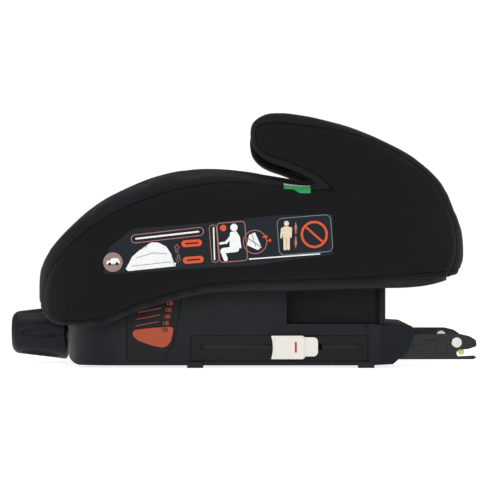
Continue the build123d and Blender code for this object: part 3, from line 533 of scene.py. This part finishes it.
def sew(body):
    """Presses the seams, the hem and the creases at the armrest's root into the cover."""
    mesh = body.data
    points, normals = points_of(mesh), normals_of(mesh)
    x = np.abs(points[:, 0])
    flat = points[:, 1:]
    side = signed_side_distance(points)
    lateral = smoothstep(np.abs(normals[:, 0]), 0.25, 0.6)
    on_side = smoothstep(x, DECK_EDGE_X - 6 * MM, DECK_EDGE_X + 2 * MM)
    side = np.where(x > DECK_EDGE_X - 4 * MM, side, -FAR_FROM_SEAM * MM)

    push = groove(side, 1.9 * MM, 1.5 * MM) * on_side * np.maximum(lateral, 0.35)
    push += 0.7 * MM * np.exp(-((np.abs(side) - 6 * MM) / (3.5 * MM)) ** 2) * on_side * lateral

    top = x - TOP_SEAM_X
    facing = (1 - lateral) * (1 - on_side) * smoothstep(points[:, 2], 0.05, 0.07)
    push += groove(top, 1.9 * MM, 1.6 * MM) * facing

    bottom = np.interp(points[:, 1], WAVE[:, 0], WAVE[:, 1])
    hem = points[:, 2] - bottom - HEM_HEIGHT
    outer = smoothstep(x, 0.185, 0.195) + smoothstep(np.abs(points[:, 1]), 0.186, 0.192)
    outer = np.clip(outer, 0, 1)
    push += groove(hem, 1.8 * MM, 1.1 * MM) * outer
    push += groove(hem - SECOND_HEM, 1.6 * MM, 0.6 * MM) * outer * smoothstep(points[:, 1], -0.02, 0.06)

    near_notch = smoothstep(x, 0.19, 0.2)
    for line, depth in zip(CREASES, (1.9, 1.2)):
        length = np.clip((flat[:, 0] - line[0, 0]) / (line[-1, 0] - line[0, 0]), 0, 1)
        fade = 1 - length ** 1.5
        push += groove(distance_to_line(flat, line), 2.2 * MM, depth * MM) * fade * near_notch
        push += groove(distance_to_line(flat, line) - 5 * MM, 2.6 * MM, -0.5 * MM) * fade * near_notch

    # slack in the fabric: long shallow undulations
    wander = (np.sin(points[:, 1] * 61 + points[:, 2] * 37) * np.sin(points[:, 2] * 83 - points[:, 1] * 19)
              + 0.6 * np.sin(points[:, 0] * 47 + points[:, 1] * 29 + 1.3))
    push += SIDE_SLACK * wander * lateral + DECK_SLACK * wander * facing
    points = points + normals * push[:, None]

    # the seating surface is hollowed between the armrests, and fades out over the front edge
    hollow = np.cos(np.clip(points[:, 0] / DISH_HALF_WIDTH, -1, 1) * math.pi / 2) ** 1.4
    hollow *= smoothstep(points[:, 1], -0.13, -0.02) * smoothstep(normals[:, 2], 0.3, 0.8)
    points[:, 2] -= DISH_DEPTH * hollow
    set_points(mesh, points)

    store(mesh, "side_seam", side / MM)
    store(mesh, "top_seam", np.where(facing > 0.2, top / MM, FAR_FROM_SEAM))
    store(mesh, "hem_seam", np.where(outer > 0.5, hem / MM, FAR_FROM_SEAM))


def store(mesh, name, values):
    """Keeps a distance for each point, which the fabric's material reads."""
    attribute = mesh.attributes.new(name, "FLOAT", "POINT")
    attribute.data.foreach_set("value", np.clip(values, -FAR_FROM_SEAM, FAR_FROM_SEAM).astype(np.float32))


def make_cover():
    """The padding and its sewn cover, as one body that stands for all of the soft nodes."""
    body = padded_blank()
    mesh = body.data
    points = points_of(mesh)
    shell = tree_of(NODES["seat_shell"].data, NODES["lower_trim"].data)
    freedom = smoothstep(distances(shell, points, FAR_FROM_SEAM * MM), HELD_WITHIN, FREE_BEYOND)
    points = smooth_points(points, edges_of(mesh), freedom, EDGE_SMOOTHING)
    points[:, 1] += REAR_FULLNESS * smoothstep(points[:, 1], 0.10, 0.19)
    points[:, 2] += TOP_FULLNESS * smoothstep(points[:, 2], 0.19, 0.235)
    set_points(mesh, points)
    stuff(body, freedom)
    set_points(mesh, points_of(mesh) - normals_of(mesh) * (DRAWN_OFF * (1 - freedom))[:, None])
    body = subdivided(body)
    sew(body)
    body.data.materials.clear()
    body.data.materials.append(MATERIALS["cover"])
    body.data.shade_smooth()
    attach(body, "seat")
    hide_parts(*SOFT_NODES)
    return body


# ---------------------------------------------------------------- printed label, tab and scale
LABEL_LIFT = 0.35 * MM       # ink stands this far off the knit, and each layer a little further
LAYER_STEP = 0.18 * MM
LONGEST_EDGE = 3.0 * MM       # longer ones are split, so that the ink follows the cover
LABEL_TILT = math.radians(4.5)
TAB_Y = (43.6 * MM, 69.8 * MM)
TAB_PIVOT = (196 * MM, 172 * MM)  # X and Z of the line that the tab is wrapped round
TAB_REACH = 28 * MM           # the wrapping starts this far out,
TAB_CEILING = 186 * MM        # but below the armrest
TAB_LIFT = 0.6 * MM           # the tab lies this far off the cover
TAB_TOP = 66                  # angle of its upper end round the pivot, degrees,
TAB_BOTTOM = (17, 3)          # and of its lower end, at the front and at the rear
TAB_STEP_Y = (52 * MM, 60 * MM)  # where the lower end steps down
TAB_THICKNESS = 0.5 * MM

# each number's height in centimetres, and its place on the scale as (Y, Z) in millimetres
SCALE_NUMBERS = [(150, -74.4, 37.6), (145, -73.1, 44.2), (140, -71.9, 50.8), (135, -70.6, 57.4),
                 (130, -69.2, 63.9)]
MARKED_NUMBER = 150           # the one on the orange marker
NUMBER_SIZE = 5.4 * MM
NUMBER_THICKNESS = 0.12 * MM


def arc(center, radius, start, end, steps=24):
    """Points along an arc. All of these shapes are lists of (Y, Z) points in millimetres."""
    angles = np.radians(np.linspace(start, end, steps))
    return [(center[0] + radius * math.cos(a), center[1] + radius * math.sin(a)) for a in angles]


def disc(center, radius):
    return arc(center, radius, 0, 345, 24)


def turned(points, center, angle=LABEL_TILT):
    c, s = math.cos(angle), math.sin(angle)
    return [(center[0] + (y - center[0]) * c - (z - center[1]) * s,
             center[1] + (y - center[0]) * s + (z - center[1]) * c) for y, z in points]


def round_box(center, width, height, radius, angle=LABEL_TILT):
    y, z = center
    dy, dz = width / 2 - radius, height / 2 - radius
    points = []
    for sy, sz, start in ((1, 1, 0), (-1, 1, 90), (-1, -1, 180), (1, -1, 270)):
        points += arc((y + sy * dy, z + sz * dz), radius, start, start + 90, 7)
    return turned(points, center, angle)


def bar(start, end, width):
    """A round-ended bar between two points."""
    (y0, z0), (y1, z1) = start, end
    length = math.hypot(y1 - y0, z1 - z0)
    center = ((y0 + y1) / 2, (z0 + z1) / 2)
    return round_box(center, length + width, width, width / 2 - 0.01, math.atan2(z1 - z0, y1 - y0))


def arrow(center, height, width, up=1):
    y, z = center
    h, w = height / 2, width / 2
    stem = w * 0.4
    return [(y, z + up * h), (y + w, z), (y + stem, z), (y + stem, z - up * h), (y - stem, z - up * h),
            (y - stem, z), (y - w, z)]


def flat_fill(outline):
    """A filled shape."""
    filled = bmesh.new()
    filled.faces.new([filled.verts.new((0, y * MM, z * MM)) for y, z in outline])
    bmesh.ops.triangulate(filled, faces=filled.faces[:])
    return filled


def flat_ring(outline, width):
    """The outline's own line, width thick, drawn inwards."""
    points = np.array(outline, float)
    center = points.mean(axis=0)
    after, before = np.roll(points, -1, axis=0), np.roll(points, 1, axis=0)
    along = after - before
    inward = np.stack([-along[:, 1], along[:, 0]], axis=1)
    inward /= np.maximum(np.linalg.norm(inward, axis=1, keepdims=True), 1e-9)
    inward *= np.sign(np.sum((center - points) * inward, axis=1, keepdims=True))
    inner = points + inward * width
    ring = bmesh.new()
    out = [ring.verts.new((0, y * MM, z * MM)) for y, z in points]
    back = [ring.verts.new((0, y * MM, z * MM)) for y, z in inner]
    for i in range(len(out)):
        j = (i + 1) % len(out)
        ring.faces.new((out[i], out[j], back[j], back[i]))
    return ring


def printed(name, shapes, side, surface, layer, material):
    """Lays flat (Y, Z) shapes onto the cover's side as one thin printed piece."""
    whole = bmesh.new()
    for shape in shapes:
        scratch = bpy.data.meshes.new("scratch")
        shape.to_mesh(scratch)
        shape.free()
        whole.from_mesh(scratch)
        bpy.data.meshes.remove(scratch)
    for _ in range(5):
        long_edges = [e for e in whole.edges if e.calc_length() > LONGEST_EDGE]
        if not long_edges:
            break
        bmesh.ops.subdivide_edges(whole, edges=long_edges, cuts=1)
        bmesh.ops.triangulate(whole, faces=whole.faces[:])
    lift = LABEL_LIFT + layer * LAYER_STEP
    for vertex in whole.verts:
        start = Vector((side * 0.3, vertex.co.y, vertex.co.z))
        hit, normal, _, _ = surface.ray_cast(start, Vector((-side, 0, 0)))
        vertex.co = hit + normal * lift if hit else Vector((side * 0.21, vertex.co.y, vertex.co.z))
    bmesh.ops.recalc_face_normals(whole, faces=whole.faces[:])
    if sum(f.normal.x * side for f in whole.faces) < 0:
        bmesh.ops.reverse_faces(whole, faces=whole.faces[:])
    mesh = bpy.data.meshes.new(name)
    whole.to_mesh(mesh)
    whole.free()
    mesh.shade_smooth()
    mesh.materials.append(material)
    made = place(name, mesh)
    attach(made, "seat")


SEATED_CHILD = [disc((-5.3, 139.2), 3.6),
                [(-9, 134.8), (-3, 135.6), (0.6, 130), (2, 119), (-9.5, 119), (-9.6, 128)],
                bar((-7, 131.5), (-13, 124.5), 2.6), bar((-13, 124.5), (-18.6, 123.6), 2.2),
                bar((-3, 118), (-15.5, 116.6), 5.4), bar((-16.4, 116), (-13.4, 108.4), 4.2)]
STANDING_CHILD = [disc((46, 143.2), 2.5), round_box((45.9, 134.6), 7.4, 11.4, 2.2),
                  bar((41.6, 138), (40.9, 129.5), 2.0), bar((50.4, 138.6), (50.2, 130), 2.0),
                  bar((44.4, 129), (44.6, 118.4), 3.0), bar((47.8, 129), (47.8, 118.6), 3.0)]
SEAT_PICTURE = [(-111.2, 98.7), (-108.8, 103), (-104.7, 110.8), (-98.2, 116.5), (-88.5, 119.8),
                (-90, 122.5), (-86, 124.6), (-79.6, 124.6), (-71.5, 120.6), (-66.6, 113.3),
                (-65.8, 105.4), (-61.7, 104.6), (-62.5, 101.4), (-108.8, 96.6)]
CAR_PICTURE = [(-130.2, 103.4), (-129.8, 106.4), (-126.8, 107), (-124.8, 109.2), (-119.6, 109.4),
               (-117.6, 107.6), (-116.8, 104.6), (-117.6, 103.8)]
BELT_PICTURE = [(7.5, 122), (9.4, 131.8), (15.2, 134.4), (17.8, 128.6), (21.6, 119.8), (18, 117.2)]
LABEL_PANEL = [(-133, 93.8), (-128.5, 119), (-104.7, 138), (-27.7, 144), (37.2, 151.2), (91.5, 152),
               (91.5, 113), (12.9, 102), (-29.3, 100), (-112, 94.4)]


def make_label(side, surface, inks):
    """A generic instruction label: pictures only, in place of any words."""
    def put(name, shapes, layer, ink):
        printed(f"label_{name}_{side_name(side)}", shapes, side, surface, layer, inks[ink])

    put("panel", [flat_fill(LABEL_PANEL)], 0, "panel")
    put("outlines", [flat_ring(round_box((-70.4, 131.7), 72, 8.6, 4.2, math.radians(6.6)), 0.7),
                     flat_ring(round_box((-24.7, 123.5), 7.6, 37, 3.2), 0.6),
                     flat_ring(round_box((-7, 125.2), 28, 39, 3.6), 0.7),
                     flat_ring(disc((15.3, 125.1), 11.8), 0.7),
                     flat_ring(disc((-123.8, 105.3), 9.6), 0.7),
                     flat_fill(arrow((55.1, 138.8), 12, 3.0)), flat_fill(arrow((55.1, 124.6), 12, 3.0, -1)),
                     flat_ring(arrow((-61.1, 119), 8.4, 6, 1), 0.6),
                     flat_ring(arrow((-59.6, 108.9), 8.4, 6, -1), 0.6)], 2, "pink")
    put("frame", [flat_ring(round_box((64, 131.9), 53, 36.5, 5.5), 0.6)], 2, "grey")
    put("badge", [flat_fill(disc((-123.8, 105.3), 9.0))], 1, "taupe")
    put("car", [flat_fill(CAR_PICTURE)], 3, "white")
    put("wheels", [flat_fill(disc((-127, 103.4), 1.5)), flat_fill(disc((-119.8, 103.8), 1.5))], 4, "panel")
    put("seat", [flat_fill(SEAT_PICTURE)], 2, "white")
    put("seat_lines", [flat_fill(bar((-105, 101.4), (-67, 105.6), 0.5)),
                       flat_fill(bar((-101, 109.4), (-84, 114.4), 0.5)),
                       flat_fill(bar((-84, 114.4), (-70.5, 113.4), 0.5))], 3, "grey")
    put("title", [flat_fill(bar((-101, 128.2), (-40, 135.2), 1.7))], 3, "white")
    put("notes", [flat_fill(bar((-24.2, 108), (-25.2, 139), 1.3)),
                  flat_fill(bar((10, 108.4), (78.4, 113.4), 1.2))], 3, "white")
    put("pills", [flat_fill(round_box((-46.6, 123.8), 20.2, 6.8, 3.3)),
                  flat_fill(round_box((-44.9, 107.6), 20.4, 6.8, 3.3)), flat_fill(disc((-15.8, 138.7), 3.2)),
                  flat_fill(turned(arrow((25.4, 130), 5, 5), (25.4, 130), math.radians(-90))),
                  flat_fill(turned(arrow((29.6, 126.6), 4, 4), (29.6, 126.6), math.radians(-80)))],
        3, "orange")
    put("pill_bars", [flat_fill(bar((-52.4, 123.4), (-40.8, 124.3), 1.4)),
                      flat_fill(bar((-50.6, 107.2), (-39.2, 108.1), 1.4))], 4, "panel")
    for number, shape in enumerate(SEATED_CHILD):
        put(f"seated_{number}", [flat_fill(shape)], 3 + number * 0.15, "white")
    for number, shape in enumerate(STANDING_CHILD):
        put(f"standing_{number}", [flat_fill(shape)], 3 + number * 0.15, "beige")
    put("belt", [flat_fill(BELT_PICTURE)], 2, "white")
    put("buckle", [flat_fill(bar((8.4, 128.6), (20.6, 120.4), 0.9)),
                   flat_fill(bar((12, 133), (16, 121), 0.7))], 3, "grey")
    put("no_ring", [flat_ring(disc((73.2, 132.4), 13.4), 2.4)], 3, "orange")
    put("no_bar", [flat_fill(bar((64.8, 139.8), (81.6, 125), 2.1))], 4, "orange")


def make_tab(side, surface, white, green):
    """The small woven label sewn into the belt notch, which lies on the seat and droops over its edge."""
    columns, rows = 16, 14
    grid = bmesh.new()
    lines = []
    for i in range(columns + 1):
        y = TAB_Y[0] + (TAB_Y[1] - TAB_Y[0]) * i / columns
        pivot = Vector((side * TAB_PIVOT[0], y, TAB_PIVOT[1]))
        bottom = TAB_BOTTOM[0] + (TAB_BOTTOM[1] - TAB_BOTTOM[0]) * smoothstep(np.array(y), *TAB_STEP_Y)
        line = []
        for j in range(rows + 1):
            angle = math.radians(TAB_TOP - (TAB_TOP - bottom) * j / rows)
            away = Vector((side * math.cos(angle), 0, math.sin(angle)))
            start = pivot + away * TAB_REACH
            start.z = min(start.z, TAB_CEILING)
            hit, _, _, _ = surface.ray_cast(start, (pivot - start).normalized())
            line.append(grid.verts.new((hit if hit else start) + away * TAB_LIFT))
        lines.append(line)
    for left, right in zip(lines[:-1], lines[1:]):
        for j in range(rows):
            corners = (left[j], left[j + 1], right[j + 1], right[j])
            face = grid.faces.new(corners if side < 0 else corners[::-1])
            face.material_index = int(j >= rows / 2)
    mesh = bpy.data.meshes.new("tab")
    grid.to_mesh(mesh)
    grid.free()
    mesh.materials.append(white)
    mesh.materials.append(green)
    mesh.shade_smooth()
    made = place(f"belt_tab_{side_name(side)}", mesh)
    thick = made.modifiers.new("thickness", "SOLIDIFY")
    thick.thickness = TAB_THICKNESS
    thick.offset = 1
    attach(made, "seat")


def make_scale_numbers(side, orange, dark):
    """Plain numbers beside the scale's lines."""
    face_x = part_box("scale_panels")[1][0]
    marker_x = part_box("scale_markers")[1][0]
    for value, y, z in SCALE_NUMBERS:
        marked = value == MARKED_NUMBER
        text = bpy.data.curves.new(f"scale_{value}", "FONT")
        text.body = str(value)
        text.size = NUMBER_SIZE
        text.space_character = 0.92
        text.align_x, text.align_y = "CENTER", "CENTER"
        text.extrude = text.offset = NUMBER_THICKNESS
        text.materials.append(dark if marked else orange)
        made = place(f"scale_{value}_{side_name(side)}", text)
        made.location = (side * (marker_x if marked else face_x), y * MM, z * MM)
        made.rotation_euler = (math.pi / 2, 0, side * math.pi / 2)
        made.scale = (0.86, 1, 1)
        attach(made, "base")


INK_COLORS = {"panel": (0.0055, 0.0095, 0.015), "white": (0.78, 0.79, 0.78), "pink": (0.42, 0.17, 0.14),
              "grey": (0.20, 0.23, 0.26), "taupe": (0.26, 0.20, 0.19), "orange": (0.60, 0.085, 0.03),
              "beige": (0.72, 0.58, 0.42)}


def make_printing(cover):
    surface = tree_of(cover.data)
    inks = {name: print_ink(f"ink_{name}", color) for name, color in INK_COLORS.items()}
    woven_green = print_ink("woven_green", (0.03, 0.32, 0.10))
    for side in SIDES.values():
        make_label(side, surface, inks)
        make_tab(side, surface, inks["white"], woven_green)
        make_scale_numbers(side, MATERIALS["orange_plastic"], MATERIALS["panel_plastic"])


# ---------------------------------------------------------------- stage, light and camera
CAMERA_AT = (3.645, 0.0055, 0.1221)
LENS_MM, SENSOR_MM = 257.5, 36
FLOOR_HALF = 9.0
FLOOR_GREY = (0.55, 0.55, 0.55)
FLOOR_GLOW = 0.82             # keeps the floor near white, as under a studio's paper sweep
WORLD_SEEN = 1.05             # strength of the white background,
WORLD_LIT = 0.34              # and of the light that it gives
# each light's name, place, target, size and power
LIGHTS = [("overhead", (0.2, 0.1, 2.2), (0, 0, 0.1), (2.6, 2.6), 42),
          ("rear_rim", (0.5, 2.0, 0.9), (0, 0.1, 0.12), (0.8, 1.6), 13),
          ("front_rim", (0.6, -2.2, 1.0), (0, -0.1, 0.12), (0.8, 1.6), 9),
          ("camera_fill", (3.2, -0.5, 0.9), (0, 0, 0.1), (1.8, 1.2), 29)]


def area_light(name, location, target, size, power):
    light = bpy.data.lights.new(name, "AREA")
    light.shape = "RECTANGLE"
    light.size, light.size_y = size
    light.energy = power
    made = place(name, light)
    made.location = location
    made.rotation_euler = (Vector(target) - Vector(location)).to_track_quat("-Z", "Y").to_euler()


def make_floor():
    corners = [(x * FLOOR_HALF, y * FLOOR_HALF, 0) for x, y in ((-1, -1), (1, -1), (1, 1), (-1, 1))]
    mesh = bpy.data.meshes.new("floor")
    mesh.from_pydata(corners, [], [(0, 1, 2, 3)])
    paper = new_material("floor_paper", FLOOR_GREY, 0.9, Emission_Color=(1, 1, 1, 1),
                         Emission_Strength=FLOOR_GLOW)
    mesh.materials.append(paper)
    place("floor", mesh)


def make_world():
    """A white background that lights the object less than it shows."""
    world = bpy.data.worlds.new("studio")
    world.use_nodes = True
    nodes, links = world.node_tree.nodes, world.node_tree.links
    nodes.clear()
    path = nodes.new("ShaderNodeLightPath")
    mix = nodes.new("ShaderNodeMixShader")
    out = nodes.new("ShaderNodeOutputWorld")
    links.new(path.outputs["Is Camera Ray"], mix.inputs["Fac"])
    for socket, strength in ((1, WORLD_LIT), (2, WORLD_SEEN)):
        background = nodes.new("ShaderNodeBackground")
        background.inputs["Color"].default_value = (1, 1, 1, 1)
        background.inputs["Strength"].default_value = strength
        links.new(background.outputs["Background"], mix.inputs[socket])
    links.new(mix.outputs["Shader"], out.inputs["Surface"])
    bpy.context.scene.world = world


def make_camera():
    data = bpy.data.cameras.new("camera")
    data.lens = LENS_MM
    data.sensor_width = SENSOR_MM
    camera = place("camera", data)
    camera.location = CAMERA_AT
    camera.rotation_euler = (math.pi / 2, 0, math.pi / 2)
    bpy.context.scene.camera = camera


bpy.context.scene.view_settings.view_transform = "Standard"
make_floor()
make_world()
for row in LIGHTS:
    area_light(*row)
make_camera()
dress_cad_nodes()
make_printing(make_cover())
